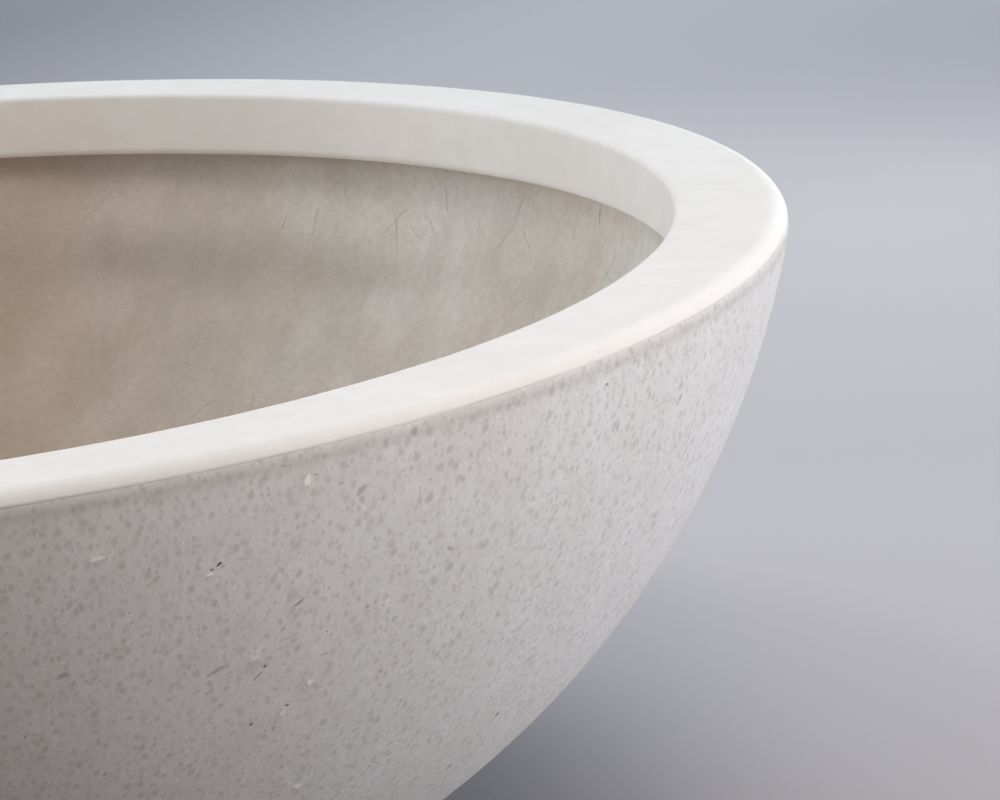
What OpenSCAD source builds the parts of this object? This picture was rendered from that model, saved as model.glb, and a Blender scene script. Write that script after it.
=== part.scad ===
// Low round bowl planter, cast in fibre-reinforced cement.
//
// The wall is laid up in one mould as two bonded layers: a thin stone-flecked face
// outside and a coarse fibre-cement backing inside. A white rim is cast onto the
// stepped top of the two layers. It caps the wall and turns down inside the bowl as
// a lip. A plastic sleeve lines the drain hole in the middle of the floor, a rubber
// plug lifts out of it, and four rubber pads carry the underside clear of the ground.
//
// Millimetres, +Z up. The origin is on the ground, under the middle of the bowl.

/* [Bowl] */
// Outside diameter across the rim
bowl_d = 600; // [540:10:760]
// Height of the casting, from its underside to the top of the rim
cast_h = 186; // [160:2:220]
// Diameter at which the curve of the wall would meet the flat underside
base_d = 280; // [240:5:320]
// Angle that the wall leans in just under the rim, in degrees
wall_lean = 11.6; // [6:0.2:16]
// Radius that eases the wall into the underside
base_edge_r = 40; // [26:1:60]

/* [Layers] */
// Thickness of the stone-flecked face layer
face_t = 5; // [3:0.5:8]
// Thickness of the fibre-cement backing layer
backing_t = 10; // [7:0.5:14]

/* [Rim] */
// Width of the top of the rim, seen from above
rim_w = 33; // [28:1:44]
// Depth of the lip that the rim turns down inside the bowl
lip_depth = 21; // [17:1:34]
// Thickness of the rim over the top of the face layer, seen from outside
cap_t = 4; // [2:0.5:6]
// Distance that the backing layer stops below the top of the rim
seat_depth = 12; // [8:0.5:15]
// Radius that eases the outer edge of the rim, over the cap and on into the face layer
rim_ease_r = 5.5; // [3:0.5:8]
// Radius along the inner top edge of the rim
arris_r = 1.5; // [0.5:0.25:2.5]
// Radius along the bottom edge of the lip
lip_edge_r = 2.5; // [1:0.25:4]

/* [Drain] */
// Bore of the drain sleeve
drain_bore_d = 20; // [14:1:30]
// Wall thickness of the drain sleeve
sleeve_wall = 2.5; // [1.5:0.25:4]
// Width of the flange round the top of the drain sleeve
flange_w = 8; // [5:0.5:12]
// Thickness of that flange, which is let into the floor
flange_t = 2; // [1.5:0.25:3]

/* [Plug] */
// Running gap between the plug and the bore, on the radius
plug_gap = 0.05; // [0.03:0.01:0.1]
// Distance that the head of the plug laps over the bore, on the radius
head_lap = 5; // [3:0.5:7]
// Thickness of the head of the plug
head_t = 3; // [2:0.5:5]
// Length of the plug that seals against the bore
seal_len = 5; // [3:0.5:7]
// Length of the tapered tip below the seal
tip_len = 5; // [3:0.5:7]
// Amount that the tip narrows, on the radius
tip_draw = 1.2; // [0.5:0.1:2]
// Width and height of the pull tab
tab_w = 13; // [9:0.5:18]
// Thickness of the pull tab
tab_t = 4; // [3:0.5:6]
// Diameter of the finger hole in the pull tab
tab_hole_d = 6; // [4:0.5:7]

/* [Pads] */
// Number of rubber pads under the bowl
pad_count = 4; // [3:1:8]
// Diameter of a pad
pad_d = 30; // [20:1:40]
// Height of a pad
pad_h = 4; // [3:0.5:8]
// Bevel round the foot of a pad
pad_bevel = 1; // [0.5:0.25:1.5]
// Distance from the edge of the flat underside to a pad
pad_inset = 8; // [4:1:16]

/* [Hidden] */
$fn = 180;

white_cement = [0.90, 0.89, 0.87];
stone_face = [0.76, 0.75, 0.74];
raw_backing = [0.62, 0.57, 0.52];
sleeve_grey = [0.42, 0.43, 0.44];
black_rubber = [0.12, 0.12, 0.12];

// The wall and the top of the rim would meet at this radius if the edge weren't eased
rim_r = bowl_d / 2 + rim_ease_r * (1 / tan((90 - wall_lean) / 2) - 1);
mouth_r = bowl_d / 2 - rim_w;
wall_t = face_t + backing_t;
underside_z = pad_h;
rim_z = underside_z + cast_h;
floor_z = underside_z + wall_t;
far = bowl_d;
// Distance that a cut runs past the face it opens
overrun = 1;

// The wall is one arc in section. It leaves the rim at wall_lean and, but for the eased
// edge, would meet the underside at base_d.
arc_run = rim_r - base_d / 2;
wall_arc_r = (arc_run^2 + cast_h^2) / (2 * (arc_run * cos(wall_lean) - cast_h * sin(wall_lean)));
wall_centre = [rim_r - wall_arc_r * cos(wall_lean), rim_z + wall_arc_r * sin(wall_lean)];

// The centre of a circle of radius r that touches the wall's arc from inside, at height z.
function inside_wall(r, z) =
    [wall_centre.x + sqrt((wall_arc_r - r)^2 - (wall_centre.y - z)^2), z];

// The unit vector from the wall's centre through a point.
function outward(p) = (p - wall_centre) / norm(p - wall_centre);

base_edge = inside_wall(base_edge_r, underside_z + base_edge_r);
rim_edge = inside_wall(rim_ease_r, rim_z - rim_ease_r);
pad_circle_r = base_edge.x - pad_inset - pad_d / 2;
sleeve_r = drain_bore_d / 2 + sleeve_wall;
flange_r = sleeve_r + flange_w;

// Half of the bowl's solid form in section, set in by a layer's thickness and cut level at
// height top. Every inset shares the same two centres, so the layers keep their thickness.
module form_section(inset, top) {
    bottom = underside_z + inset;
    edge_end = base_edge + 1.5 * base_edge_r * outward(base_edge);
    // the flat middle
    translate([0, bottom])
        square([base_edge.x, top - bottom]);
    // the eased edge
    translate(base_edge)
        circle(r = base_edge_r - inset);
    // the curved wall, above the line through the two centres
    intersection() {
        translate(wall_centre)
            circle(r = wall_arc_r - inset);
        polygon([[0, base_edge.y], base_edge, edge_end, [far, base_edge.y], [far, top], [0, top]]);
    }
}

// A layer of the casting in section: its outer and inner insets, and the height of its top.
module layer_section(outer, inner, top) {
    difference() {
        form_section(outer, top);
        form_section(inner, top + overrun);
    }
}

// The part of the form inside an inset that lies within depth of the rim's top.
module rim_step(inset, depth) {
    intersection() {
        form_section(inset, rim_z);
        translate([0, rim_z - depth])
            square([far, depth]);
    }
}

// What a square corner loses to a radius: the corner is at the origin, the solid at -x, -y.
module corner_cutter(r) {
    difference() {
        translate([-r, -r])
            square(2 * r);
        translate([-r, -r])
            circle(r = r);
    }
}

// What the outer edge of the rim loses to its radius, from the rim's top down to the wall.
module ease_cutter() {
    difference() {
        polygon([rim_edge, rim_edge + [0, 2 * rim_ease_r],
                 rim_edge + [3 * rim_ease_r, 2 * rim_ease_r],
                 rim_edge + 3 * rim_ease_r * outward(rim_edge)]);
        translate(rim_edge)
            circle(r = rim_ease_r);
    }
}

// The stone-flecked outer layer, from the underside up to the rim's thin outer cap.
module face_shell() {
    color(stone_face)
        difference() {
            rotate_extrude()
                difference() {
                    layer_section(0, face_t, rim_z - cap_t);
                    ease_cutter();
                }
            translate([0, 0, underside_z - overrun])
                cylinder(r = sleeve_r, h = face_t + 2 * overrun);
        }
}

// The hand-laid inner layer, which stops lower so that the rim has a seat on it.
module backing_shell() {
    color(raw_backing)
        difference() {
            rotate_extrude()
                layer_section(face_t, wall_t, rim_z - seat_depth);
            translate([0, 0, underside_z + face_t - overrun])
                cylinder(r = sleeve_r, h = backing_t + 2 * overrun);
            translate([0, 0, floor_z - flange_t])
                cylinder(r = flange_r, h = flange_t + overrun);
        }
}

// The white rim: a cap over the face layer, a seat on the backing and a lip inside it.
module rim_collar() {
    color(white_cement)
        rotate_extrude()
            difference() {
                union() {
                    rim_step(0, cap_t);
                    rim_step(face_t, seat_depth);
                    rim_step(wall_t, lip_depth);
                }
                translate([0, rim_z - lip_depth - overrun])
                    square([mouth_r, lip_depth + 2 * overrun]);
                translate([mouth_r, rim_z])
                    mirror([1, 0])
                        corner_cutter(arris_r);
                translate([mouth_r, rim_z - lip_depth])
                    rotate(180)
                        corner_cutter(lip_edge_r);
                ease_cutter();
            }
}

// The plastic lining of the drain hole. Its flange lies flush with the floor.
module drain_sleeve() {
    color(sleeve_grey)
        difference() {
            union() {
                translate([0, 0, underside_z])
                    cylinder(r = sleeve_r, h = wall_t);
                translate([0, 0, floor_z - flange_t])
                    cylinder(r = flange_r, h = flange_t);
            }
            translate([0, 0, underside_z - overrun])
                cylinder(d = drain_bore_d, h = wall_t + 2 * overrun);
        }
}

// The rubber stopper: tapered tip, sealing length, head and pull tab.
module drain_plug() {
    seal_r = drain_bore_d / 2 - plug_gap;
    tab_z = floor_z + head_t;
    tab_top_r = tab_w / 2;
    color(black_rubber) {
        difference() {
            union() {
                translate([0, 0, floor_z - seal_len - tip_len])
                    cylinder(r1 = seal_r - tip_draw, r2 = seal_r, h = tip_len);
                translate([0, 0, floor_z - seal_len])
                    cylinder(r = seal_r, h = seal_len);
                translate([0, 0, floor_z])
                    cylinder(r = drain_bore_d / 2 + head_lap, h = head_t);
                translate([-tab_top_r, -tab_t / 2, tab_z])
                    cube([tab_w, tab_t, tab_w - tab_top_r]);
                translate([0, tab_t / 2, tab_z + tab_w - tab_top_r])
                    rotate([90, 0, 0])
                        cylinder(r = tab_top_r, h = tab_t);
            }
            translate([0, tab_t, tab_z + tab_w - tab_top_r])
                rotate([90, 0, 0])
                    cylinder(d = tab_hole_d, h = 2 * tab_t);
        }
    }
}

// One rubber pad, bevelled at its foot and stuck to the underside.
module foot_pad(i) {
    color(black_rubber)
        rotate([0, 0, 360 / pad_count * (i - 0.5)])
            translate([pad_circle_r, 0, 0]) {
                cylinder(r1 = pad_d / 2 - pad_bevel, r2 = pad_d / 2, h = pad_bevel);
                translate([0, 0, pad_bevel])
                    cylinder(d = pad_d, h = pad_h - pad_bevel);
            }
}

rim_collar();
face_shell();
backing_shell();
drain_sleeve();
drain_plug();
for (i = [1:pad_count])
    foot_pad(i);
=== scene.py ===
import math
import random
from bisect import bisect_left, bisect_right

import bmesh
import bpy
from mathutils import Matrix, Vector
from mathutils.geometry import delaunay_2d_cdt


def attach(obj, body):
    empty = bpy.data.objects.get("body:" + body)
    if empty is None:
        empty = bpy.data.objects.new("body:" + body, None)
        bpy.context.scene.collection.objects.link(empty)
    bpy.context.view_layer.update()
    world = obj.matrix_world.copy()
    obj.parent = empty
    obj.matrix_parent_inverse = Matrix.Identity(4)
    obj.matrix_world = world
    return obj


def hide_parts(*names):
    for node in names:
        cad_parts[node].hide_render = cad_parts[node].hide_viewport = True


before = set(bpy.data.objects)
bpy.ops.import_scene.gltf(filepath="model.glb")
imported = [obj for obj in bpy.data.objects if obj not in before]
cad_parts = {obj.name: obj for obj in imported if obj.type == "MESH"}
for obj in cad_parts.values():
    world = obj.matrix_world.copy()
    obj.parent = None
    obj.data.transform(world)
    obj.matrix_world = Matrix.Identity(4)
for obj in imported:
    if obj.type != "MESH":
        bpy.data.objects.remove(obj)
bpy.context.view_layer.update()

# Sizes of the real bowl, in metres
MM = 0.001
BOWL_R = 300 * MM
MOUTH_R = 267 * MM
CAST_H = 186 * MM
PAD_H = 4 * MM
RIM_Z = PAD_H + CAST_H
BASE_R = 140 * MM
WALL_LEAN = math.radians(11.6)
BASE_EDGE_R = 40 * MM
FACE_T = 5 * MM
BACKING_T = 10 * MM
WALL_T = FACE_T + BACKING_T
FLOOR_Z = PAD_H + WALL_T
CAP_T = 4 * MM
SEAT_DEPTH = 12 * MM
LIP_DEPTH = 21 * MM
ARRIS_R = 1.5 * MM
EASE_R = 5.5 * MM
LIP_EDGE_R = 2.5 * MM
SLEEVE_R = 12.5 * MM
FLANGE_R = 20.5 * MM
FLANGE_T = 2 * MM

# How coarse the mesh is where nothing shows, and the steps round the eased edge of the base
HIDDEN_PITCH = 24 * MM
HIDDEN_RING_R = 60 * MM
HIDDEN_EDGE_STEPS = 5
EDGE_STEPS = 10

# The wall is one arc in section, up to the corner that the rim's eased edge rounds off
CORNER_R = BOWL_R + EASE_R * (1 / math.tan((math.pi / 2 - WALL_LEAN) / 2) - 1)
ARC_RUN = CORNER_R - BASE_R
ARC_LEAN = ARC_RUN * math.cos(WALL_LEAN) - CAST_H * math.sin(WALL_LEAN)
WALL_ARC_R = (ARC_RUN**2 + CAST_H**2) / (2 * ARC_LEAN)
WALL_CENTRE = Vector(
    (CORNER_R - WALL_ARC_R * math.cos(WALL_LEAN), RIM_Z + WALL_ARC_R * math.sin(WALL_LEAN))
)


# Sections of the wall
def wall_point(inset, z):
    """(r, z) on the wall's arc, set in by a layer's thickness or by the radius of an edge."""
    radius = WALL_ARC_R - inset
    return Vector((WALL_CENTRE.x + math.sqrt(radius**2 - (WALL_CENTRE.y - z) ** 2), z))


# The centres of the two eased edges, and the angle at which the wall's arc runs into the lower one
EASE_CENTRE = wall_point(EASE_R, RIM_Z - EASE_R)
EDGE_CENTRE = wall_point(BASE_EDGE_R, PAD_H + BASE_EDGE_R)
EDGE_ANGLE = math.atan2(EDGE_CENTRE.y - WALL_CENTRE.y, EDGE_CENTRE.x - WALL_CENTRE.x)


def down_wall(run, inset=0.0):
    """(r, z) at a run down the wall from the rim's top, over its eased edge and down its arc."""
    turn = run / EASE_R
    to_wall = EASE_CENTRE - WALL_CENTRE
    end = math.pi / 2 - math.atan2(to_wall.y, to_wall.x)
    if turn < end:
        return EASE_CENTRE + (EASE_R - inset) * Vector((math.sin(turn), math.cos(turn)))
    angle = math.pi / 2 - end - (run - EASE_R * end) / WALL_ARC_R
    return WALL_CENTRE + (WALL_ARC_R - inset) * Vector((math.cos(angle), math.sin(angle)))


def run_at(z):
    """The run at which the wall comes down to a height, found by halving a span longer than the wall."""
    low, high = 0.0, 400 * MM
    while high - low > 0.001 * MM:
        half = (low + high) / 2
        low, high = (half, high) if down_wall(half).y > z else (low, half)
    return low


def wall_section(inset, top, pitch, edge_steps=EDGE_STEPS):
    """Points from the top of the wall, down its arc and round its eased edge to the flat underside."""
    radius = WALL_ARC_R - inset
    start = math.asin((top - WALL_CENTRE.y) / radius)
    steps = max(2, round(radius * (start - EDGE_ANGLE) / pitch))
    points = []
    for i in range(steps + 1):
        angle = start + (EDGE_ANGLE - start) * i / steps
        points.append(WALL_CENTRE + radius * Vector((math.cos(angle), math.sin(angle))))
    for i in range(1, edge_steps + 1):
        angle = EDGE_ANGLE + (-math.pi / 2 - EDGE_ANGLE) * i / edge_steps
        points.append(EDGE_CENTRE + (BASE_EDGE_R - inset) * Vector((math.cos(angle), math.sin(angle))))
    return points


def rounded(corner, before, after, radius, steps=5):
    """Points of a small radius in place of a corner between two directions."""
    a, b = (before - corner).normalized(), (after - corner).normalized()
    half = math.acos(max(-1.0, min(1.0, a.dot(b)))) / 2
    centre = corner + (a + b).normalized() * radius / math.sin(half)
    setback = radius / math.tan(half)
    first, last = corner + a * setback - centre, corner + b * setback - centre
    turn = math.atan2(first.x * last.y - first.y * last.x, first.dot(last))
    return [centre + Matrix.Rotation(turn * i / steps, 2) @ first for i in range(steps + 1)]


def spread(a, b, pitch):
    """Evenly spaced points from a towards b, without either end."""
    steps = max(1, round((b - a).length / pitch))
    return [a.lerp(b, i / steps) for i in range(1, steps)]


# Colour and nodes
def srgb(code):
    """A hex colour as it is seen, turned to the linear values that the shader reads."""
    values = [int(code[i : i + 2], 16) / 255 for i in (1, 3, 5)]
    return (*[v / 12.92 if v <= 0.04045 else ((v + 0.055) / 1.055) ** 2.4 for v in values], 1.0)


def add(tree, kind, inputs=None, **settings):
    """Adds a node with its settings, and its inputs as links or plain values."""
    node = tree.nodes.new(kind)
    for name, value in settings.items():
        setattr(node, name, value)
    for name, value in (inputs or {}).items():
        if isinstance(value, bpy.types.NodeSocket):
            tree.links.new(value, node.inputs[name])
        else:
            node.inputs[name].default_value = value
    return node


def coat(name, roughness, gloss=0.5):
    """A material of a roughness and a gloss: its shader, the object's own coordinates and a bump node."""
    material = bpy.data.materials.new(name)
    material.use_nodes = True
    tree = material.node_tree
    shader = tree.nodes["Principled BSDF"]
    shader.inputs["Roughness"].default_value = roughness
    shader.inputs["Specular IOR Level"].default_value = gloss
    where = add(tree, "ShaderNodeTexCoord").outputs["Object"]
    relief = add(tree, "ShaderNodeBump", {"Strength": 1.0, "Distance": MM})
    tree.links.new(relief.outputs["Normal"], shader.inputs["Normal"])
    return material, tree, shader, where, relief


def cloud(tree, where, size, detail=3.0, drawn=(1, 1, 1)):
    """Soft patches of a real size, from 0 to 1."""
    if drawn != (1, 1, 1):
        where = add(tree, "ShaderNodeMapping", {"Vector": where, "Scale": drawn}).outputs[0]
    noise = add(tree, "ShaderNodeTexNoise", {"Vector": where, "Scale": 1 / size, "Detail": detail})
    reach = {0: noise.outputs["Fac"], 1: 0.3, 2: 0.7}
    return add(tree, "ShaderNodeMapRange", reach, interpolation_type="SMOOTHSTEP").outputs[0]


def grains(tree, where, spacing, largest, share, blur, turn=(0, 0, 0), drawn=(1, 1, 1)):
    """Scattered grains: 1 inside each and 0 outside, and a random value for each grain."""
    where = add(tree, "ShaderNodeMapping", {"Vector": where, "Rotation": turn, "Scale": drawn}).outputs[0]
    cells = add(tree, "ShaderNodeTexVoronoi", {"Vector": where, "Scale": 1 / spacing})
    chance = add(tree, "ShaderNodeSeparateColor", {0: cells.outputs["Color"]})
    # a grain whose chance is over the share has no radius at all
    sizes = {0: chance.outputs[0], 1: 0.0, 2: share, 3: largest / spacing / 2, 4: 0.0}
    radius = add(tree, "ShaderNodeMapRange", sizes).outputs[0]
    core = add(tree, "ShaderNodeMath", {0: radius, 1: 1 - blur}, operation="MULTIPLY").outputs[0]
    edge = add(tree, "ShaderNodeMath", {0: radius, 1: 0.0001}, operation="ADD").outputs[0]
    reach = {0: cells.outputs["Distance"], 1: core, 2: edge, 3: 1.0, 4: 0.0}
    inside = add(tree, "ShaderNodeMapRange", reach, interpolation_type="SMOOTHSTEP").outputs[0]
    return inside, chance.outputs[1]


def laid(tree, below, where_it_is, strength, code):
    """A tint, as a hex colour or a link, laid over the colours below it, as thick as a pattern says."""
    amount = add(tree, "ShaderNodeMath", {0: where_it_is, 1: strength}, operation="MULTIPLY").outputs[0]
    inputs = {0: amount, 6: below, 7: code}
    inputs = {key: srgb(value) if isinstance(value, str) else value for key, value in inputs.items()}
    return add(tree, "ShaderNodeMix", inputs, data_type="RGBA").outputs[2]


def textured(tree, relief, *patterns):
    """Raises the surface by patterns, each with its own height in metres, below nought for a hollow."""
    height = 0.0
    for pattern, rise in patterns:
        raised = {0: pattern, 1: rise / MM, 2: height}
        height = add(tree, "ShaderNodeMath", raised, operation="MULTIPLY_ADD").outputs[0]
    tree.links.new(height, relief.inputs["Height"])


def bent(tree, where, size, reach):
    """Coordinates pushed about by noise, so that what they draw has broken edges."""
    noise = add(tree, "ShaderNodeTexNoise", {"Vector": where, "Scale": 1 / size, "Detail": 1.0})
    push = {0: noise.outputs["Color"], 1: (reach,) * 3, 2: where}
    return add(tree, "ShaderNodeVectorMath", push, operation="MULTIPLY_ADD").outputs[0]


def level(tree, height, middle, reach):
    """1 at a height, falling softly to 0 at a reach above and below it."""
    off = add(tree, "ShaderNodeMath", {0: height, 1: middle}, operation="SUBTRACT").outputs[0]
    off = add(tree, "ShaderNodeMath", {0: off}, operation="ABSOLUTE").outputs[0]
    fall = {0: off, 1: 0.0, 2: reach, 3: 1.0, 4: 0.0}
    return add(tree, "ShaderNodeMapRange", fall, interpolation_type="SMOOTHSTEP").outputs[0]


# Materials
def honed_stone_facing():
    """Marble sand in white cement, ground back until the grains lie flush."""
    material, tree, shader, where, relief = coat("honed_stone_facing", 0.7, 0.35)
    broken = bent(tree, where, 1.8 * MM, 0.8 * MM)
    # grey translucent grains that nearly touch, in three sizes, each drawn out in its own direction
    coarse, tone = grains(tree, broken, 2.5 * MM, 3.6 * MM, 2.0, 0.8, (0.5, 0.2, 0.3), (1, 1, 0.75))
    middle, tone_2 = grains(tree, broken, 1.7 * MM, 2.4 * MM, 2.0, 0.8, (0.1, 0.9, 0.6), (1.2, 1, 0.9))
    large, _ = grains(tree, broken, 5 * MM, 4 * MM, 0.8, 0.8, (0.9, 0.4, 0.1), (1, 0.7, 1))
    # a few white chips of shell, and pinholes too small to cut into the mesh
    chips, _ = grains(tree, broken, 6 * MM, 2.2 * MM, 0.3, 0.7, (0.7, 0.1, 0.9), (1, 0.6, 1.3))
    holes, _ = grains(tree, where, 7 * MM, 0.8 * MM, 0.35, 0.4)
    colour = laid(tree, "#ddd9d6", cloud(tree, where, 45 * MM), 1.0, "#e0dfdd")
    colour = laid(tree, colour, cloud(tree, where, 9 * MM, 2.0), 0.3, "#cdcac4")
    colour = laid(tree, colour, middle, 0.75, laid(tree, "#bdb8b2", tone_2, 1.0, "#e9e8e5"))
    colour = laid(tree, colour, coarse, 0.75, laid(tree, "#bcb8b1", tone, 1.0, "#d5d4d6"))
    colour = laid(tree, colour, large, 0.5, "#b9b5b1")
    colour = laid(tree, colour, chips, 0.6, "#e7e5e2")
    # painted shade: pinholes too small to cut are painted dark for the shade inside them
    colour = laid(tree, colour, holes, 0.5, "#827870")
    # painted shade: the face is painted a little darker and warmer on one side of the bowl, where less light
    # reaches it
    side = add(tree, "ShaderNodeSeparateXYZ", {0: where}).outputs[0]
    side = add(tree, "ShaderNodeMapRange", {0: side, 1: 0.2, 2: 0.0}).outputs[0]
    colour = laid(tree, colour, side, 0.13, "#a69587")
    # a darker band just under the edge of the rim
    height = add(tree, "ShaderNodeSeparateXYZ", {0: where}).outputs[2]
    colour = laid(tree, colour, level(tree, height, RIM_Z - 6 * MM, 4 * MM), 0.28, "#978f86")
    # the marks that are cut into the mesh bring their own colour, with painted shade in the pits and a
    # partly painted highlight round them
    mark = add(tree, "ShaderNodeAttribute", attribute_name="mark")
    colour = laid(tree, colour, mark.outputs["Alpha"], 1.0, mark.outputs["Color"])
    tree.links.new(colour, shader.inputs["Base Color"])
    honing = cloud(tree, where, 1.5 * MM, 1.0)
    textured(tree, relief, (coarse, -0.015 * MM), (holes, -0.15 * MM), (honing, 0.02 * MM))
    return material


def cast_white_cement():
    """White cement and fine white sand, cast smooth and rubbed down, a little cloudy."""
    material, tree, shader, where, relief = coat("cast_white_cement", 0.75, 0.2)
    holes, _ = grains(tree, where, 9 * MM, 0.7 * MM, 0.3, 0.5)
    colour = laid(tree, "#eceae7", cloud(tree, where, 60 * MM), 1.0, "#f0efed")
    colour = laid(tree, colour, cloud(tree, where, 9 * MM), 0.35, "#e6e3dd")
    # painted shade: pinholes are painted darker for the shade inside them
    colour = laid(tree, colour, holes, 0.35, "#b9b1a8")
    # painted shade: the outer eased edge is painted a little darker, where it turns away from the light
    spoke = add(tree, "ShaderNodeVectorMath", {0: where, 1: (1, 1, 0)}, operation="MULTIPLY").outputs[0]
    radius = add(tree, "ShaderNodeVectorMath", {0: spoke}, operation="LENGTH").outputs["Value"]
    colour = laid(tree, colour, level(tree, radius, BOWL_R, 5 * MM), 0.3, "#cfc9c2")
    tree.links.new(colour, shader.inputs["Base Color"])
    rubbing, grit = cloud(tree, where, 14 * MM), cloud(tree, where, 0.6 * MM, 2.0)
    textured(tree, relief, (rubbing, 0.1 * MM), (grit, 0.02 * MM), (holes, -0.1 * MM))
    return material


def raw_fibre_cement():
    """Grey cement with chopped glass fibre, laid up by hand, left rough and stained brown."""
    material, tree, shader, where, relief = coat("raw_fibre_cement", 0.85)
    broken = bent(tree, where, 60 * MM, 30 * MM)
    # browner on one side of the bowl and greyer on the other
    side = add(tree, "ShaderNodeSeparateXYZ", {0: broken}).outputs[0]
    side = add(tree, "ShaderNodeMapRange", {0: side, 1: 0.085, 2: 0.2}).outputs[0]
    colour = laid(tree, "#ccb7a3", side, 1.0, "#e4e7e4")
    colour = laid(tree, colour, cloud(tree, broken, 50 * MM, 4.0), 0.45, "#c7bda9")
    colour = laid(tree, colour, cloud(tree, broken, 31 * MM, 3.0), 0.45, "#e9ddd6")
    colour = laid(tree, colour, cloud(tree, where, 14 * MM, 3.0, (1, 1, 0.22)), 0.3, "#c0b5ab")
    colour = laid(tree, colour, cloud(tree, where, 2.5 * MM), 0.2, "#b3a79a")
    # a soft line where one lift of cement met the next, and dirt with painted shade under the lip
    height = add(tree, "ShaderNodeSeparateXYZ", {0: bent(tree, where, 30 * MM, 8 * MM)}).outputs[2]
    broken_line = {0: level(tree, height, 136 * MM, 16 * MM), 1: cloud(tree, where, 80 * MM, 2.0)}
    seam = add(tree, "ShaderNodeMath", broken_line, operation="MULTIPLY").outputs[0]
    colour = laid(tree, colour, seam, 0.45, "#958a7b")
    # dirt and painted shade: a darker line under the lip, where the lip's shadow falls
    colour = laid(tree, colour, level(tree, height, 170 * MM, 8 * MM), 0.18, "#7d6a5c")
    tree.links.new(colour, shader.inputs["Base Color"])
    lumps, grit = cloud(tree, where, 6 * MM, 3.0), cloud(tree, where, 1.2 * MM, 2.0)
    textured(tree, relief, (lumps, 0.3 * MM), (grit, 0.12 * MM))
    return material


def glass_strand():
    """Chopped glass strands that lie in the raw face, filmed over with cement."""
    material, tree, shader, where, relief = coat("glass_strand", 0.6)
    colour = laid(tree, "#c2bab2", cloud(tree, where, 20 * MM), 1.0, "#d7d2cc")
    tree.links.new(colour, shader.inputs["Base Color"])
    textured(tree, relief, (cloud(tree, where, 1 * MM), 0.02 * MM))
    return material


def moulded_pvc():
    """Grey pipe-grade PVC, satin from the mould, with a film of cement dust."""
    material, tree, shader, where, relief = coat("moulded_pvc", 0.42)
    colour = laid(tree, "#6c7073", cloud(tree, where, 5 * MM, 4.0), 0.5, "#8f8d89")
    tree.links.new(colour, shader.inputs["Base Color"])
    textured(tree, relief, (cloud(tree, where, 0.8 * MM), 0.02 * MM))
    return material


def black_epdm_rubber():
    """Black EPDM, moulded matt, greyed by dust where it has been handled."""
    material, tree, shader, where, relief = coat("black_epdm_rubber", 0.68)
    colour = laid(tree, "#262627", cloud(tree, where, 6 * MM, 5.0), 0.35, "#53504c")
    tree.links.new(colour, shader.inputs["Base Color"])
    textured(tree, relief, (cloud(tree, where, 0.7 * MM), 0.03 * MM))
    return material


# Geometry Nodes
def node_tree(name, inputs):
    """An empty Geometry Nodes tree with named inputs."""
    tree = bpy.data.node_groups.new(name, "GeometryNodeTree")
    tree.interface.new_socket("Geometry", in_out="INPUT", socket_type="NodeSocketGeometry")
    for socket, kind in inputs.items():
        tree.interface.new_socket(socket, in_out="INPUT", socket_type="NodeSocket" + kind)
    tree.interface.new_socket("Geometry", in_out="OUTPUT", socket_type="NodeSocketGeometry")
    return tree, add(tree, "NodeGroupInput").outputs


def finished(tree, made, material):
    """Ends a tree: real geometry, smooth shading and its material."""
    real = add(tree, "GeometryNodeRealizeInstances", {"Geometry": made}).outputs[0]
    smooth = add(tree, "GeometryNodeSetShadeSmooth", {"Geometry": real}).outputs[0]
    coated = add(tree, "GeometryNodeSetMaterial", {"Geometry": smooth, "Material": material}).outputs[0]
    add(tree, "NodeGroupOutput", {"Geometry": coated})
    return tree


def uneven(tree, made, size, height, amount, seed):
    """Moves a surface in and out by noise of a real size and height."""
    noise = {"Vector": add(tree, "GeometryNodeInputPosition").outputs[0], "W": seed, "Detail": 2.0}
    noise["Scale"] = add(tree, "ShaderNodeMath", {0: 1.0, 1: size}, operation="DIVIDE").outputs[0]
    swell = add(tree, "ShaderNodeTexNoise", noise, noise_dimensions="4D").outputs[0]
    rise = add(tree, "ShaderNodeMath", {0: swell, 1: 0.5}, operation="SUBTRACT").outputs[0]
    for factor in (height, amount):
        rise = add(tree, "ShaderNodeMath", {0: rise, 1: factor}, operation="MULTIPLY").outputs[0]
    outward = {0: add(tree, "GeometryNodeInputNormal").outputs[0], "Scale": rise}
    push = add(tree, "ShaderNodeVectorMath", outward, operation="SCALE").outputs[0]
    return add(tree, "GeometryNodeSetPosition", {"Geometry": made, "Offset": push}).outputs[0]


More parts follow.
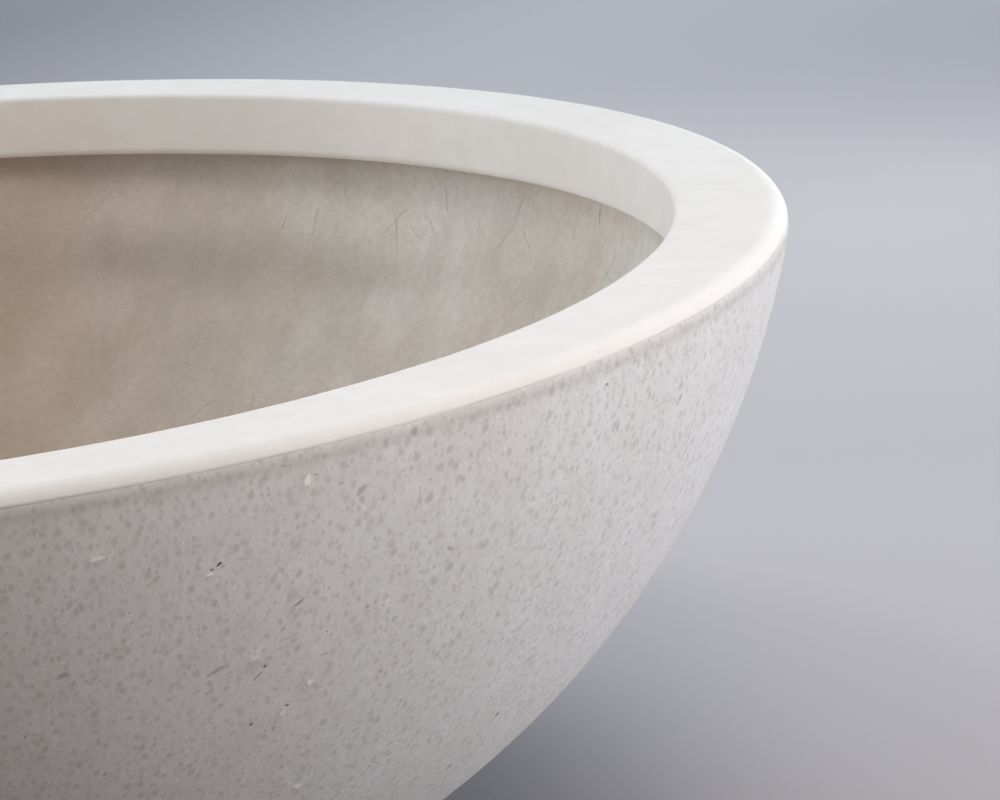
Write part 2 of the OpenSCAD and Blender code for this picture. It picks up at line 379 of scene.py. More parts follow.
def turned_section():
    """Turns a section of points about the bowl's axis, and lets it wander where the section says."""
    sizes = ("Lump size", "Lump height", "Ripple size", "Ripple height", "Seed")
    tree, given = node_tree(
        "turned_section", {"Steps": "Int", **dict.fromkeys(sizes, "Float"), "Material": "Material"}
    )
    section = given["Geometry"]
    count = add(tree, "GeometryNodeAttributeDomainSize", {"Geometry": section}).outputs["Point Count"]
    columns = add(tree, "ShaderNodeMath", {0: given["Steps"], 1: 1.0}, operation="ADD").outputs[0]
    grid = add(tree, "GeometryNodeMeshGrid", {"Vertices X": columns, "Vertices Y": count}).outputs["Mesh"]
    index = add(tree, "GeometryNodeInputIndex").outputs[0]
    row = add(tree, "ShaderNodeMath", {0: index, 1: count}, operation="MODULO").outputs[0]
    share = add(tree, "ShaderNodeMath", {0: index, 1: count}, operation="DIVIDE").outputs[0]
    column = add(tree, "ShaderNodeMath", {0: share}, operation="FLOOR").outputs[0]
    turn = add(tree, "ShaderNodeMath", {0: column, 1: given["Steps"]}, operation="DIVIDE").outputs[0]
    angle = add(tree, "ShaderNodeMath", {0: turn, 1: 2 * math.pi}, operation="MULTIPLY").outputs[0]
    place = {"Geometry": section, "Value": add(tree, "GeometryNodeInputPosition").outputs[0], "Index": row}
    point = add(tree, "GeometryNodeSampleIndex", place, data_type="FLOAT_VECTOR").outputs[0]
    swung = {"Vector": point, "Angle": angle}
    swung = add(tree, "ShaderNodeVectorRotate", swung, rotation_type="Z_AXIS").outputs[0]
    freedom = add(tree, "GeometryNodeInputNamedAttribute", {"Name": "wander"}, data_type="FLOAT").outputs[0]
    free = {"Geometry": section, "Value": freedom, "Index": row}
    free = add(tree, "GeometryNodeSampleIndex", free, data_type="FLOAT").outputs[0]
    stored = {"Geometry": grid, "Name": "wander", "Value": free}
    stored = add(tree, "GeometryNodeStoreNamedAttribute", stored, data_type="FLOAT").outputs[0]
    placed = add(tree, "GeometryNodeSetPosition", {"Geometry": stored, "Position": swung}).outputs[0]
    made = add(tree, "GeometryNodeMergeByDistance", {"Geometry": placed, "Distance": 0.001 * MM}).outputs[0]
    for name in ("Lump", "Ripple"):
        made = uneven(tree, made, given[name + " size"], given[name + " height"], freedom, given["Seed"])
    return finished(tree, made, given["Material"])


def made_by(tree, name, source, values):
    """A plain mesh of what a tree makes from a source mesh, with the tree's inputs set by name."""
    holder = bpy.data.objects.new(name, source)
    bpy.context.scene.collection.objects.link(holder)
    modifier = holder.modifiers.new(name, "NODES")
    modifier.node_group = tree
    for item in tree.interface.items_tree:
        if item.in_out == "INPUT" and item.name in values:
            modifier[item.identifier] = values[item.name]
    evaluated = holder.evaluated_get(bpy.context.evaluated_depsgraph_get())
    mesh = bpy.data.meshes.new_from_object(evaluated)
    bpy.data.objects.remove(holder)
    mesh.name = name
    return piece(name, mesh)


def piece(name, mesh):
    """Puts a mesh into the scene as a named object."""
    made = bpy.data.objects.new(name, mesh)
    bpy.context.scene.collection.objects.link(made)
    return made


def turned(
    name, points, material, steps, closed=True, lumps=(1.0, 0.0), ripples=(1.0, 0.0), seed=0.0, wander=None
):
    """A piece turned about the bowl's axis from its section, a list of (r, z).

    Lumps and ripples are each (size, height), and wander says how far each point follows them.
    """
    if closed:
        points = [*points, points[0]]
        wander = [*wander, wander[0]] if wander else None
    source = bpy.data.meshes.new(name + "_section")
    source.from_pydata([(p[0], 0.0, p[1]) for p in points], [], [])
    freedom = source.attributes.new("wander", "FLOAT", "POINT")
    freedom.data.foreach_set("value", wander or [0.0] * len(points))
    values = {"Steps": steps, "Lump size": lumps[0], "Lump height": lumps[1], "Ripple size": ripples[0]}
    values.update({"Ripple height": ripples[1], "Seed": seed, "Material": material})
    return made_by(TURNED, name, source, values)


# Marks in the stone face, which are cut into its mesh
# rings are (share of the mark's size, share of its depth, colour, how far the colour covers), and
# a share of the depth below nought stands proud of the wall
CHALK_AND_HIGHLIGHT, PAINTED_PIT_SHADE, SHELL = "#e6e2dd", "#857970", "#f3f0ea"
# a pit's slope and hollow are painted dark for the shade in them, and the ring round it is a chipped white
# edge with a painted highlight
PIT = [
    (1.6, 0, CHALK_AND_HIGHLIGHT, 0),
    (1.15, 0, CHALK_AND_HIGHLIGHT, 0.6),
    (1.0, 0.08, "#b5aba3", 1),
    (0.8, 0.6, PAINTED_PIT_SHADE, 1),
    (0.45, 1, PAINTED_PIT_SHADE, 1),
]
CHIP = [(1.15, 0, SHELL, 0), (0.95, -1, SHELL, 0.85), (0.55, -0.6, SHELL, 1)]
GRAIN = [(1.35, 0, "#9b9897", 0), (0.85, 0.6, "#9b9897", 0.5), (0.45, 1, "#9b9897", 0.62)]
BLUE_GRAIN = [(1.3, 0, "#8c929b", 0), (0.85, 0.6, "#8c929b", 0.6), (0.45, 1, "#828893", 0.8)]
# those that the photograph shows: rings, bearing, depth below the rim, length, width and tilt, in
# degrees and millimetres
SEEN = [
    (PIT, -69.93, 29.6, 2.0, 0.75, 32),
    (PIT, -70.32, 30.7, 1.2, 0.55, 12),
    (CHIP, -70.42, 31.9, 2.2, 0.8, 10),
    (PIT, -66.86, 65.0, 3.4, 0.42, 46),
    (PIT, -66.55, 62.6, 1.1, 0.7, 40),
    (CHIP, -67.3, 59.6, 2.6, 0.35, 12),
    (PIT, -66.6, 80.0, 1.1, 0.8, 20),
    (PIT, -64.5, 76.8, 1.1, 0.8, 0),
    (CHIP, -64.7, 79.0, 1.5, 0.9, 60),
    (CHIP, -63.39, 71.4, 1.8, 0.9, -60),
    (PIT, -62.97, 57.0, 0.6, 0.5, 0),
    (GRAIN, -62.85, 63.6, 2.6, 0.6, 8),
    (BLUE_GRAIN, -65.09, 46.0, 3.2, 1.1, 35),
    (GRAIN, -69.43, 60.3, 5.5, 1.2, 22),
    (GRAIN, -60.62, 52.8, 1.6, 1.2, 10),
    (GRAIN, -55.54, 43.0, 3.2, 0.9, -22),
    (GRAIN, -59.11, 6.5, 2.6, 1.9, 40),
    (CHIP, -65.3, 12.2, 2.8, 2.0, 70),
    (PIT, -64.85, 11.2, 0.6, 0.5, 0),
    (CHIP, -76.25, 21.3, 3.6, 1.4, 5),
    (GRAIN, -77.93, 52.2, 2.6, 1.6, 10),
    (PIT, -58.47, 74.7, 0.6, 0.5, 30),
    (PIT, -44.98, 11.5, 0.9, 0.7, 30),
    (GRAIN, -36.36, 26.3, 2.4, 1.6, 30),
    (GRAIN, -62.1, 18.5, 3.0, 2.0, 30),
    (GRAIN, -66.67, 6.8, 1.8, 0.6, -12),
]
# the stretch of wall that has only those
SEEN_BEARINGS, SEEN_DEPTH = (-86, -24), 95
COLUMNS, ROW_PITCH = 480, 4 * MM
RING_POINTS = 12


def marks_elsewhere(chance):
    """Marks of the same kinds over the rest of the wall, each well clear of the others."""
    marks = []
    # millimetres between marks, with a degree counted as long as it is low on the wall
    apart, per_degree = 9, 3.5
    # how many of each kind are tried, their lengths in mm and their width as a share of that
    kinds = ((PIT, 70, (0.6, 2.2), 0.7), (CHIP, 130, (1.0, 3.4), 0.5), (GRAIN, 150, (1.6, 3.6), 0.55))
    for rings, count, (short, long), breadth in kinds:
        for _ in range(count):
            bearing = chance.uniform(-176, 176)
            depth = (RIM_Z - down_wall(chance.uniform(8, 215) * MM).y) / MM
            length = short + (long - short) * chance.random() ** 2
            width = length * chance.uniform(breadth - 0.25, breadth + 0.25)
            seen = SEEN_BEARINGS[0] < bearing < SEEN_BEARINGS[1] and depth < SEEN_DEPTH
            gaps = (math.hypot((bearing - mark[1]) * per_degree, depth - mark[2]) for mark in marks)
            if not seen and all(gap > apart for gap in gaps):
                marks.append((rings, bearing, depth, length, width, chance.uniform(-80, 80)))
    return marks


def depth_of(rings, width):
    """How far a mark goes in, or a chip stands proud, in mm: half its width for a pit, else a hair."""
    if rings is PIT:
        return 0.5 * width
    return 0.04 if rings is CHIP else 0.02


def on_wall(bearing, run, inset=0.0):
    """A point of the wall's face, by its bearing and its run down from the rim."""
    r, z = down_wall(run, inset)
    return (r * math.cos(bearing), r * math.sin(bearing), z)


def ring_of(mark, scale, phases):
    """Offsets (along the rim, down the wall) of an uneven oval round a mark's middle."""
    _, _, _, length, width, tilt = mark
    tilt = math.radians(tilt)
    offsets = []
    for k in range(RING_POINTS):
        a = 2 * math.pi * k / RING_POINTS
        wave = 1 + 0.16 * math.sin(2 * a + phases[0]) + 0.12 * math.sin(3 * a + phases[1])
        wave += 0.07 * math.sin(5 * a + phases[2])
        # the last term keeps the rings of a thin mark apart
        u = (length / 2 * wave * scale) * math.cos(a)
        v = (width / 2 * wave * scale + 0.12 * (scale - 1)) * math.sin(a)
        along, down = u * math.cos(tilt) + v * math.sin(tilt), v * math.cos(tilt) - u * math.sin(tilt)
        offsets.append((along * MM, down * MM))
    return offsets


def place_of(mark):
    """A mark's run down the wall and its bearing in radians."""
    _, bearing, depth, _, _, _ = mark
    return run_at(RIM_Z - depth * MM), math.radians(bearing) % (2 * math.pi)


def blocks_of(marks, runs, step):
    """Blocks of the wall's grid that hold marks: [first row, last row, first column, last column, marks]."""
    blocks = []
    for mark in marks:
        rings, _, _, length, width, _ = mark
        run, bearing = place_of(mark)
        reach = (0.7 * max(length, width) * rings[0][0] + 0.3) * MM
        rows = bisect_right(runs, run - reach) - 1, bisect_left(runs, run + reach)
        aside = reach / down_wall(run).x
        new = [*rows, math.floor((bearing - aside) / step), math.ceil((bearing + aside) / step), [mark]]
        for block in [*blocks]:
            if block[0] < new[1] and new[0] < block[1] and block[2] < new[3] and new[2] < block[3]:
                blocks.remove(block)
                rows = min(block[0], new[0]), max(block[1], new[1])
                columns = min(block[2], new[2]), max(block[3], new[3])
                new = [*rows, *columns, block[4] + new[4]]
        blocks.append(new)
    return blocks


class Skin:
    """The stone face as it grows: its points, the colour of the mark that each is in, and its faces."""

    def __init__(self):
        self.points, self.colours, self.faces = [], [], []

    def place(self, point, colour="#000000", cover=0.0):
        """Adds a point and gives its number."""
        self.points.append(point)
        self.colours.extend((*srgb(colour)[:3], cover))
        return len(self.points) - 1


def face_runs():
    """Runs of the grid's rows down the wall, close together under the rim where marks lie near it."""
    close_rows, close_pitch = 9, 0.7 * MM
    # the first row lies a little way up behind the edge of the rim
    first = run_at(RIM_Z - CAP_T + 0.3 * MM)
    last = run_at(wall_section(0, RIM_Z, ROW_PITCH)[-EDGE_STEPS - 1].y)
    runs = [first + i * close_pitch for i in range(close_rows)]
    rows = round((last - runs[-1]) / ROW_PITCH)
    return runs + [runs[-1] + (last - runs[-1]) * (i + 1) / rows for i in range(rows)]


def rest_of_face():
    """The section past the grid: eased edge, underside, drain hole and the side against the backing."""
    below = wall_section(0, RIM_Z - CAP_T, ROW_PITCH)[-EDGE_STEPS:]
    inner = wall_section(FACE_T, RIM_Z - CAP_T, HIDDEN_PITCH, HIDDEN_EDGE_STEPS)
    hole = Vector((SLEEVE_R, PAD_H))
    within = [Vector((SLEEVE_R, PAD_H + FACE_T)), Vector((HIDDEN_RING_R, PAD_H + FACE_T))]
    return [*below, *spread(below[-1], hole, 18 * MM), hole, *within, *reversed(inner)]


def let_in(skin, grid, runs, step, block, chance):
    """Fills a block of the grid again, round the rings of its marks."""
    i0, i1, j0, j1, marks = block
    edge = [(i0, j) for j in range(j0, j1)] + [(i, j1) for i in range(i0, i1)]
    edge += [(i1, j) for j in range(j1, j0, -1)] + [(i, j0) for i in range(i1, i0, -1)]
    own = [grid[i][j % COLUMNS] for i, j in edge]
    # in the flat, points are millimetres round the rim and down the wall
    flat = [Vector((j * step * CORNER_R, runs[i])) / MM for i, j in edge]
    lines = [(k, (k + 1) % len(edge)) for k in range(len(edge))]
    for mark in marks:
        rings, width = mark[0], mark[4]
        run, bearing = place_of(mark)
        radius = down_wall(run).x
        phases = [chance.uniform(0, 2 * math.pi) for _ in range(3)]
        deep = depth_of(rings, width) * MM
        # the last ring is closed by a point in the middle
        for scale, sink, colour, cover in [*rings, (0, *rings[-1][1:])]:
            ring = ring_of(mark, scale, phases) if scale else [(0, 0)]
            lines += [(len(own) + k, len(own) + (k + 1) % len(ring)) for k in range(len(ring)) if scale]
            for u, v in ring:
                own.append(skin.place(on_wall(bearing + u / radius, run + v, sink * deep), colour, cover))
                flat.append(Vector(((bearing + u / radius) * CORNER_R, run + v)) / MM)
    made, _, corners, origins, _, _ = delaunay_2d_cdt(flat, lines, [], 0, 1e-6)
    # where the rings of two marks cross, a point is made that neither had
    for k, origin in enumerate(origins):
        if not origin:
            own.append(skin.place(on_wall(made[k].x * MM / CORNER_R, made[k].y * MM)))
            origin.append(len(own) - 1)
    skin.faces += [[own[origins[k][0]] for k in corner] for corner in corners]


def stone_face(material):
    """The whole face layer: a grid over its outside with the marks let in, and its hidden inner side."""
    chance = random.Random(11)
    step = 2 * math.pi / COLUMNS
    runs, skin = face_runs(), Skin()
    grid = [[skin.place(on_wall(j * step, run)) for j in range(COLUMNS)] for run in runs]
    for p in rest_of_face():
        spokes = ((math.cos(j * step), math.sin(j * step)) for j in range(COLUMNS))
        grid.append([skin.place((p.x * x, p.x * y, p.y)) for x, y in spokes])
    taken = set()
    for block in blocks_of([*SEEN, *marks_elsewhere(chance)], runs, step):
        i0, i1, j0, j1, _ = block
        taken |= {(i, j % COLUMNS) for i in range(i0, i1) for j in range(j0, j1)}
        let_in(skin, grid, runs, step, block, chance)
    for i, row in enumerate(grid):
        below = grid[(i + 1) % len(grid)]
        for j in range(COLUMNS):
            k = (j + 1) % COLUMNS
            if (i, j) not in taken:
                skin.faces.append((row[j], row[k], below[k], below[j]))
    mesh = bpy.data.meshes.new("stone_face")
    mesh.from_pydata(skin.points, [], skin.faces)
    mesh.attributes.new("mark", "FLOAT_COLOR", "POINT").data.foreach_set("color", skin.colours)
    mesh.shade_smooth()
    mesh.materials.append(material)
    return outward_only(piece("stone_face", mesh))


def outward_only(made):
    """Drops loose points and turns every face outwards."""
    shape = bmesh.new()
    shape.from_mesh(made.data)
    bmesh.ops.delete(shape, geom=[v for v in shape.verts if not v.link_faces], context="VERTS")
    bmesh.ops.recalc_face_normals(shape, faces=shape.faces)
    shape.to_mesh(made.data)
    shape.free()
    return made


# The other pieces
def edged(a, b, pitch, near=0.5 * MM):
    """Points along a flat between two corners, with one close to each so that its shading stays flat."""
    share = near / (b - a).length
    first, last = a.lerp(b, share), b.lerp(a, share)
    return [first, *spread(first, last, pitch), last]


def rim_collar(material):
    """The white rim: flat top, outer edge a hair proud of the stone face, and the lip inside."""
    top_in, lip_in = Vector((MOUTH_R, RIM_Z)), Vector((MOUTH_R, RIM_Z - LIP_DEPTH))
    # the lip is let into the backing, whose face is lumpy, so that no gap shows between them
    lip_inset = WALL_T - 1.5 * MM
    lip_wall = wall_point(lip_inset, RIM_Z - LIP_DEPTH)
    # the white gives way to the stone face part of the way round the eased edge
    line_run, proud, steps = run_at(RIM_Z - CAP_T), 0.1 * MM, 8
    eased = [down_wall(line_run * i / steps, -proud * i / steps) for i in range(steps + 1)]
    # under its proud edge it turns in to the face, and that line wanders most
    turned_in = eased[-1] + Vector((-0.25, -0.12)) * MM
    points, wander = [], []
    runs = [
        (rounded(top_in, lip_in, eased[0], ARRIS_R), 1.0),
        (edged(top_in + Vector((ARRIS_R, 0)), eased[0], 4 * MM), 1.0),
        (eased, 1.0),
        ([turned_in], 3.0),
        ([wall_point(2.6 * MM, RIM_Z - CAP_T), wall_point(FACE_T, RIM_Z - CAP_T)], 0.0),
        ([wall_point(FACE_T, RIM_Z - SEAT_DEPTH), wall_point(lip_inset, RIM_Z - SEAT_DEPTH)], 0.0),
        ([lip_wall], 0.0),
        (edged(lip_wall, lip_in + Vector((LIP_EDGE_R, 0)), 4 * MM), 1.0),
        (rounded(lip_in, lip_wall, top_in, LIP_EDGE_R), 1.5),
        (edged(lip_in + Vector((0, LIP_EDGE_R)), top_in - Vector((0, ARRIS_R)), 4 * MM), 1.0),
    ]
    for run, freedom in runs:
        points += run
        wander += [freedom] * len(run)
    points, wander = points[::-1], wander[::-1]
    lumps, ripples = (45 * MM, 0.25 * MM), (7 * MM, 0.12 * MM)
    return turned(
        "rim_collar", points, material, 540, lumps=lumps, ripples=ripples, seed=10.0, wander=wander
    )


def backing_shell(material):
    """The raw inner layer: lumpy where it shows, smooth where it meets the face layer and the sleeve."""
    bare = wall_section(WALL_T, RIM_Z - SEAT_DEPTH, 3 * MM, 9)
    bare += spread(bare[-1], Vector((FLANGE_R, FLOOR_Z)), 3 * MM)
    drain = [(FLANGE_R, FLOOR_Z), (FLANGE_R, FLOOR_Z - FLANGE_T), (SLEEVE_R, FLOOR_Z - FLANGE_T)]
    drain += [(SLEEVE_R, PAD_H + FACE_T), (HIDDEN_RING_R, PAD_H + FACE_T)]
    hidden = wall_section(FACE_T, RIM_Z - SEAT_DEPTH, HIDDEN_PITCH, HIDDEN_EDGE_STEPS)
    points = [*bare, *[Vector(p) for p in drain], *reversed(hidden)]
    # it is even where the rim's seat hides it, and comes level with the sleeve's flange on the floor
    lip = RIM_Z - LIP_DEPTH
    ease = [max(0.0, min(1.0, (p.x - FLANGE_R) / (20 * MM), (lip + 3 * MM - p.y) / (6 * MM))) for p in bare]
    wander = [*ease, *[0.0] * (len(points) - len(bare))]
    lumps, ripples = (32 * MM, 3 * MM), (8 * MM, 0.6 * MM)
    return turned(
        "backing_shell", points, material, 400, lumps=lumps, ripples=ripples, seed=13.0, wander=wander
    )


def scattered_strands():
    """Strews thin strands over the bare part of a surface, each sunk into it by half its thickness."""
    sizes = ("Strands per square metre", "Length", "Thickness", "Curl")
    tree, given = node_tree(
        "scattered_strands", {**dict.fromkeys(sizes, "Float"), "Seed": "Int", "Material": "Material"}
    )
    bare = add(tree, "GeometryNodeInputNamedAttribute", {"Name": "wander"}, data_type="FLOAT").outputs[0]
    bare = add(tree, "ShaderNodeMath", {0: bare, 1: 0.99}, operation="GREATER_THAN").outputs[0]
    strew = {"Mesh": given["Geometry"], "Selection": bare, "Seed": given["Seed"], "Density": given[sizes[0]]}
    strewn = add(tree, "GeometryNodeDistributePointsOnFaces", strew).outputs
    turns = {2: 0.0, 3: 2 * math.pi, "Seed": 3}
    spin = add(tree, "FunctionNodeRandomValue", turns, data_type="FLOAT").outputs[1]
    spin = add(tree, "ShaderNodeCombineXYZ", {2: spin}).outputs[0]
    lie = {0: strewn["Rotation"], 1: spin}
    lie = add(tree, "FunctionNodeRotateRotation", lie, rotation_space="LOCAL").outputs[0]
    end = add(tree, "ShaderNodeCombineXYZ", {0: given["Length"]}).outputs[0]
    line = add(tree, "GeometryNodeCurvePrimitiveLine", {"End": end}).outputs[0]
    line = add(tree, "GeometryNodeResampleCurve", {"Curve": line, "Count": 7}).outputs[0]
    size = add(tree, "FunctionNodeRandomValue", {2: 0.3, 3: 1.0, "Seed": 7}, data_type="FLOAT").outputs[1]
    put = {"Points": strewn["Points"], "Instance": line, "Rotation": lie, "Scale": size}
    put = add(tree, "GeometryNodeInstanceOnPoints", put).outputs[0]
    real = add(tree, "GeometryNodeRealizeInstances", {"Geometry": put}).outputs[0]
    # each strand curls in waves of about 9 mm, and is then laid down along its whole length
    place = add(tree, "GeometryNodeInputPosition").outputs[0]
    curl = add(tree, "ShaderNodeTexNoise", {"Vector": place, "Scale": 110.0, "Detail": 0.0}).outputs["Color"]
    curl = add(tree, "ShaderNodeVectorMath", {0: curl, 1: (0.5,) * 3}, operation="SUBTRACT").outputs[0]
    curl = add(tree, "ShaderNodeVectorMath", {0: curl, "Scale": given["Curl"]}, operation="SCALE").outputs[0]
    curled = add(tree, "GeometryNodeSetPosition", {"Geometry": real, "Offset": curl}).outputs[0]
    down = {0: given["Geometry"], "Source Position": place}
    down = add(tree, "GeometryNodeProximity", down, target_element="FACES").outputs["Position"]
    laid_down = add(tree, "GeometryNodeSetPosition", {"Geometry": curled, "Position": down}).outputs[0]
    radius = add(tree, "ShaderNodeMath", {0: given["Thickness"], 1: 0.5}, operation="MULTIPLY").outputs[0]
    profile = add(tree, "GeometryNodeCurvePrimitiveCircle", {"Resolution": 4, "Radius": radius}).outputs[0]
    strands = {"Curve": laid_down, "Profile Curve": profile, "Fill Caps": True}
    strands = add(tree, "GeometryNodeCurveToMesh", strands).outputs[0]
    return finished(tree, strands, given["Material"])


def drain_sleeve(material):
    """The drain hole's plastic lining, with softened moulded edges."""
    bore_r, under_flange = 10 * MM, FLOOR_Z - FLANGE_T
    corners = [(bore_r, FLOOR_Z), (bore_r, PAD_H), (SLEEVE_R, PAD_H), (SLEEVE_R, under_flange)]
    corners += [(FLANGE_R, under_flange), (FLANGE_R, FLOOR_Z)]
    return turned("drain_sleeve", softened(corners, 0.4 * MM), material, 96)


def softened(corners, radius, pitch=3 * MM):
    """A closed section with a small radius at every corner."""
    corners = [Vector(p) for p in corners]
    points = []
    for i, corner in enumerate(corners):
        before, after = corners[i - 1], corners[(i + 1) % len(corners)]
        points += rounded(corner, before, after, radius, 3)
        points += spread(corner, after, pitch)
    return points


def pull_tab():
    """The plug's tab: an arch with a finger hole, thickened, rounded and stood up on the ground."""
    edge, tab_r, hole_r, middle, thick = 0.7 * MM, 6.5 * MM, 3 * MM, 6.5 * MM, 4 * MM
    outline = bpy.data.curves.new("tab", "CURVE")
    outline.dimensions, outline.fill_mode = "2D", "BOTH"
    outline.extrude, outline.bevel_depth = thick / 2 - edge, edge
    outline.bevel_resolution, outline.offset = 2, -edge
    turns, back_turns = [math.pi * k / 24 for k in range(25)], [-math.pi * k / 16 for k in range(32)]
    arch = [(tab_r * math.cos(a), middle + tab_r * math.sin(a)) for a in turns]
    hole = [(hole_r * math.cos(a), middle + hole_r * math.sin(a)) for a in back_turns]
    # the foot goes a little way into the plug's head
    foot = [(-tab_r, -1 * MM), (tab_r, -1 * MM)]
    for points in (arch + foot, hole):
        spline = outline.splines.new("POLY")
        spline.points.add(len(points) - 1)
        spline.points.foreach_set("co", [v for x, y in points for v in (x, y, 0, 1)])
        spline.use_cyclic_u = True
    holder = bpy.data.objects.new("tab", outline)
    bpy.context.scene.collection.objects.link(holder)
    tab = bpy.data.meshes.new_from_object(holder.evaluated_get(bpy.context.evaluated_depsgraph_get()))
    bpy.data.objects.remove(holder)
    tab.transform(Matrix.Rotation(math.pi / 2, 4, "X"))
    return tab


def drain_plug(material):
    """The rubber stopper: a turned body with soft edges, and the pull tab moulded onto its head."""
    seal_r, head_r, tip_r = 9.95 * MM, 15 * MM, 8.75 * MM
    tip_z, taper_z, top_z = FLOOR_Z - 10 * MM, FLOOR_Z - 5 * MM, FLOOR_Z + 3 * MM
    tip, taper = Vector((tip_r, tip_z)), Vector((seal_r, taper_z))
    neck, brim, crown = Vector((seal_r, FLOOR_Z)), Vector((head_r, FLOOR_Z)), Vector((head_r, top_z))
    points = [Vector((0, tip_z)), *rounded(tip, Vector((0, tip_z)), taper, 0.8 * MM)]
    points += [taper, Vector((seal_r, FLOOR_Z - 0.2 * MM)), neck]
    points += rounded(brim, neck, crown, 0.4 * MM)
    points += rounded(crown, brim, Vector((0, top_z)), 1 * MM)
    points += [Vector((9 * MM, top_z)), Vector((0, top_z))]
    body = turned("drain_plug", points, material, 96, closed=False)
    tab = pull_tab()
    tab.transform(Matrix.Translation((0, 0, top_z)))
    shape = bmesh.new()
    shape.from_mesh(body.data)
    shape.from_mesh(tab)
    bmesh.ops.remove_doubles(shape, verts=shape.verts, dist=0.001 * MM)
    shape.to_mesh(body.data)
    shape.free()
    # the tab's faces lie in another slot than the body's, so the slots are made afresh
    body.data.materials.clear()
    body.data.materials.append(material)
    body.data.shade_smooth()
    return body


# Scene
BACKDROP = "#a9acb3"


def looked_at(tree):
    """1 where the eye looks straight at a place, or sees it by a mirror or through glass, and else 0."""
    ray = add(tree, "ShaderNodeLightPath").outputs
    seen = ray["Is Camera Ray"]
    for other in ("Is Glossy Ray", "Is Transmission Ray"):
        seen = add(tree, "ShaderNodeMath", {0: seen, 1: ray[other]}, operation="MAXIMUM").outputs[0]
    return seen


def floor_paint():
    """The photograph's plain cool grey sheet, painted darker behind the bowl on the left, with painted shade
    and a painted pool of light round the bowl.
    """
    material, tree, shader, where, relief = coat("studio_floor", 0.9, 0.1)
    # painted shade: the sheet is painted darker towards the back left, where its light falls off
    along = {0: where, 1: (1.0, -0.6, 0.0)}
    along = add(tree, "ShaderNodeVectorMath", along, operation="DOT_PRODUCT").outputs["Value"]
    reach = {0: along, 1: -0.95, 2: -0.35}
    light = add(tree, "ShaderNodeMapRange", reach, interpolation_type="SMOOTHSTEP").outputs[0]
    colour = laid(tree, "#98979c", light, 1.0, "#c3c1c4")
    colour = laid(tree, colour, cloud(tree, where, 3.0, 1.0), 0.2, "#b8b4b7")
    # painted shade close round the bowl, more so on the left, a painted pool of light behind it and painted
    # shade far off
    # each is (middle, where its fall begins and where it ends, in metres, how it falls, colour)
    painted_shades = (
        ((0, 0, 0), 0.05, 0.4, "LINEAR", "#7a7d86"),
        ((-0.17, -0.37, 0), 0.0, 0.72, "SMOOTHSTEP", "#6b635e"),
        ((0.5, 0.78, 0), 0.02, 0.42, "LINEAR", "#d1ced0"),
        ((0.85, 1.2, 0), 0.1, 0.42, "LINEAR", "#b1afb3"),
    )
    for middle, near, far, fall, code in painted_shades:
        pair = {0: where, 1: middle}
        away = add(tree, "ShaderNodeVectorMath", pair, operation="DISTANCE").outputs["Value"]
        reach = {0: away, 1: near, 2: far}
        lit = add(tree, "ShaderNodeMapRange", reach, interpolation_type=fall).outputs[0]
        colour = laid(tree, code, lit, 1.0, colour)
    tree.links.new(colour, shader.inputs["Base Color"])
    # far off, by the lamps, the eye sees the plain backdrop
    away = add(tree, "ShaderNodeVectorMath", {0: where, 1: (0, 0, 0)}, operation="DISTANCE").outputs["Value"]
    reach = {0: away, 1: 1.6, 2: 2.1}
    away = add(tree, "ShaderNodeMapRange", reach, interpolation_type="SMOOTHSTEP").outputs[0]
    share = add(tree, "ShaderNodeMath", {0: looked_at(tree), 1: away}, operation="MULTIPLY").outputs[0]
    backdrop = add(tree, "ShaderNodeEmission", {0: srgb(BACKDROP)}).outputs[0]
    surface = add(tree, "ShaderNodeMixShader", {0: share, 1: shader.outputs[0], 2: backdrop}).outputs[0]
    tree.links.new(surface, tree.nodes["Material Output"].inputs["Surface"])
    return material


def studio_floor():
    """The sheet under the bowl, wide enough to reach past every view."""
    shape = bmesh.new()
    bmesh.ops.create_grid(shape, x_segments=1, y_segments=1, size=15)
    mesh = bpy.data.meshes.new("floor")
    shape.to_mesh(mesh)
    shape.free()
    floor = piece("floor", mesh)
    mesh.materials.append(floor_paint())


def soft_light(name, place, power, code, size=1.4):
    """A square soft box that faces the bowl."""
    light = bpy.data.lights.new(name, "AREA")
    light.size, light.energy, light.color = size, power, srgb(code)[:3]
    lamp = bpy.data.objects.new(name, light)
    lamp.location, lamp.visible_camera = place, False
    lamp.rotation_euler = (Vector((0, 0, 0.1)) - Vector(place)).to_track_quat("-Z", "Y").to_euler()
    bpy.context.scene.collection.objects.link(lamp)


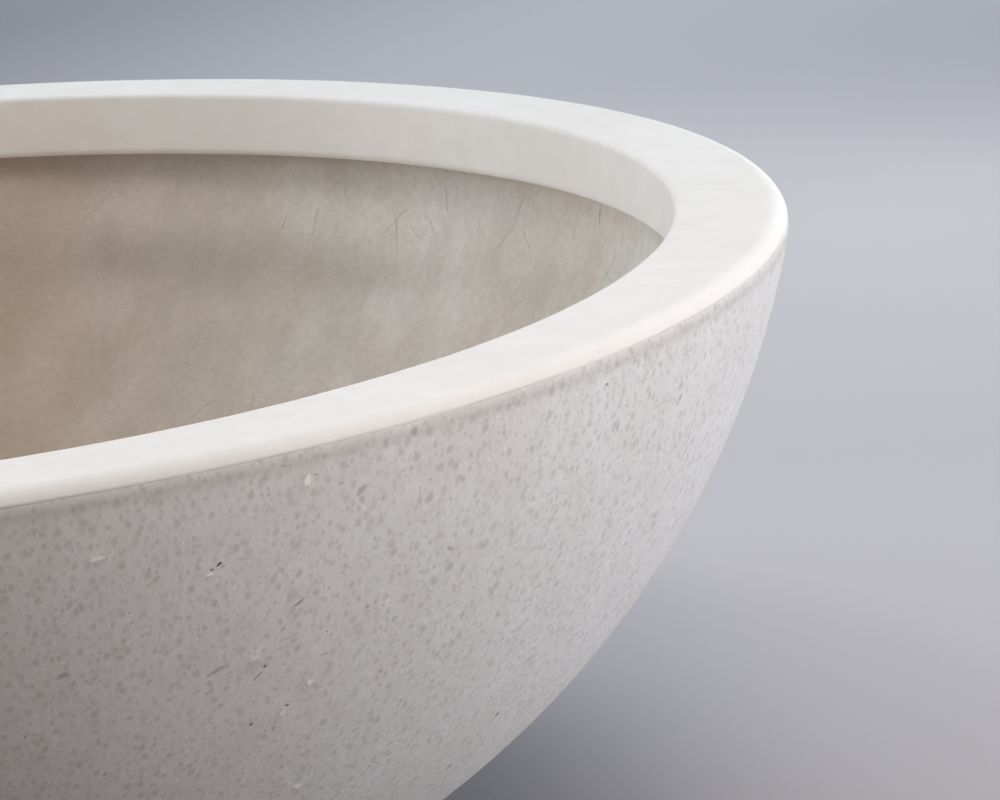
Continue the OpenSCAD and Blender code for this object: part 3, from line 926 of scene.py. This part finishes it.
def light_scene():
    """Eight soft boxes round the bowl, and a dim world that the eye sees as the backdrop."""
    soft_light("right_low", (2.54, 0, 0.64), 36, "#edf4ff")
    soft_light("left_low", (-2.54, 0, 0.64), 22, "#f8faff")
    soft_light("left_behind", (-2.2, 1.27, 0.64), 30, "#f7fcff")
    soft_light("right_front", (2.2, -1.27, 0.64), 19, "#fffaf9")
    soft_light("right_behind", (1.27, 2.2, 0.64), 10.5, "#e3f1ff")
    soft_light("high_left", (-1.3, 0, 2.35), 12.6, "#f0f9ff")
    soft_light("high_behind", (0.65, 1.13, 2.35), 25, "#eff7ff")
    soft_light("near_front", (0.42, -0.72, 1.1), 4.9, "#ffeee0", 0.6)
    world = bpy.data.worlds.new("studio")
    world.use_nodes = True
    tree = world.node_tree
    fill = tree.nodes["Background"]
    fill.inputs["Color"].default_value, fill.inputs["Strength"].default_value = srgb("#e4e6ec"), 0.02
    backdrop = add(tree, "ShaderNodeBackground", {0: srgb(BACKDROP), 1: 1.0}).outputs[0]
    either = {0: looked_at(tree), 1: fill.outputs[0], 2: backdrop}
    surface = add(tree, "ShaderNodeMixShader", either).outputs[0]
    tree.links.new(surface, tree.nodes["World Output"].inputs["Surface"])
    bpy.context.scene.world = world
    bpy.context.scene.view_settings.view_transform = "Standard"


def place_camera():
    """The photograph's close view, down over the near side of the rim, with a long lens."""
    turn, dip, tilt = math.radians(8.35), math.radians(13.69), math.radians(-4.62)
    forward = Vector((math.sin(turn) * math.cos(dip), math.cos(turn) * math.cos(dip), -math.sin(dip)))
    right = Vector((math.cos(turn), -math.sin(turn), 0))
    up = right.cross(forward)
    right, up = right * math.cos(tilt) + up * math.sin(tilt), up * math.cos(tilt) - right * math.sin(tilt)
    data = bpy.data.cameras.new("camera")
    data.lens, data.sensor_width, data.sensor_fit, data.clip_start = 180, 36, "HORIZONTAL", 0.01
    camera = bpy.data.objects.new("camera", data)
    bpy.context.scene.collection.objects.link(camera)
    stand = Matrix.Translation((0, -1.4566, 0.4843))
    camera.matrix_world = stand @ Matrix((right, up, -forward)).transposed().to_4x4()
    bpy.context.scene.camera = camera


# The scene put together, with each piece attached to its body
TURNED, STRANDS = turned_section(), scattered_strands()
rubber = black_epdm_rubber()
place_camera()
light_scene()
studio_floor()

rim = rim_collar(cast_white_cement())
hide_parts("rim_collar")

face = stone_face(honed_stone_facing())
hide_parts("face_shell")

backing = backing_shell(raw_fibre_cement())
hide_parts("backing_shell")

spread_of_strands = {"Strands per square metre": 2600.0, "Length": 18 * MM, "Thickness": 0.3 * MM}
spread_of_strands.update({"Curl": 5 * MM, "Seed": 5, "Material": glass_strand()})
strands = made_by(STRANDS, "glass_strands", backing.data, spread_of_strands)

sleeve = drain_sleeve(moulded_pvc())
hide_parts("drain_sleeve")

plug = drain_plug(rubber)
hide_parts("drain_plug")

for made in (rim, face, backing, strands, sleeve):
    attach(made, "bowl")
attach(plug, "plug")
for name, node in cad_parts.items():
    if name.startswith("foot_pad"):
        node.data.materials.clear()
        node.data.materials.append(rubber)
